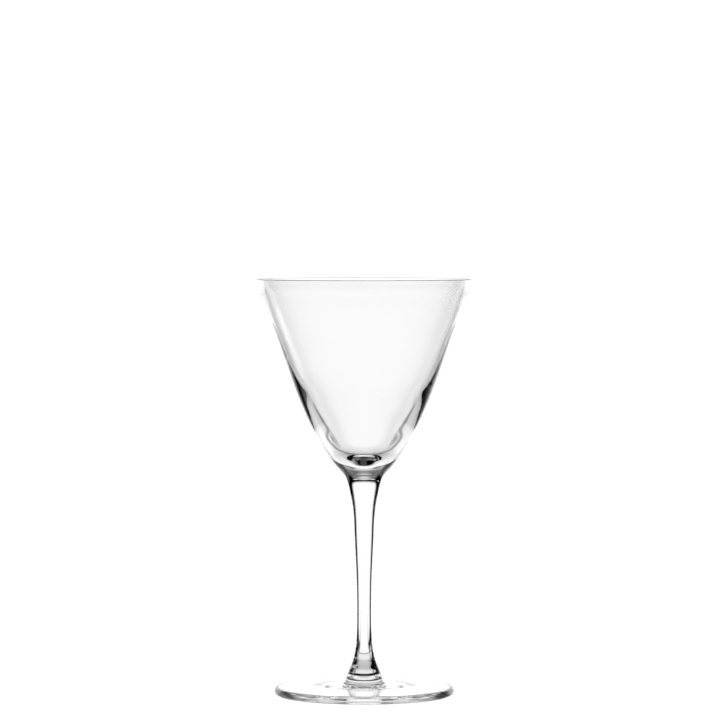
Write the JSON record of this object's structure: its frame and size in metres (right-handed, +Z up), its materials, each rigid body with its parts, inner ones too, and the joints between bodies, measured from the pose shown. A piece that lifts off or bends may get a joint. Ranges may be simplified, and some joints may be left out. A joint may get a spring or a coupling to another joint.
{
  "type": "martini glass",
  "caption": "Clear stemmed cocktail glass with a conical bowl, a heavy rounded bottom, a slender drawn stem and a round flat foot.",
  "frame": {"origin": "centre of the underside of the foot, on the surface that the glass stands on", "axes": "+Z up along the glass's axis of revolution, from the foot to the rim; +X and +Y are level and equivalent"},
  "size_m": [0.0902, 0.0902, 0.175],
  "materials": {
    "clear_bowl_glass": "clear colourless glass, fire polished",
    "clear_stem_glass": "clear colourless glass, drawn, with faint lengthwise cords and wavy marks at both fused joints",
    "clear_foot_glass": "clear colourless glass, pressed and fire polished"
  },
  "bodies": {
    "root": {"bowl": "clear_bowl_glass", "stem": "clear_stem_glass", "foot": "clear_foot_glass"}
  },
  "joints": []
}
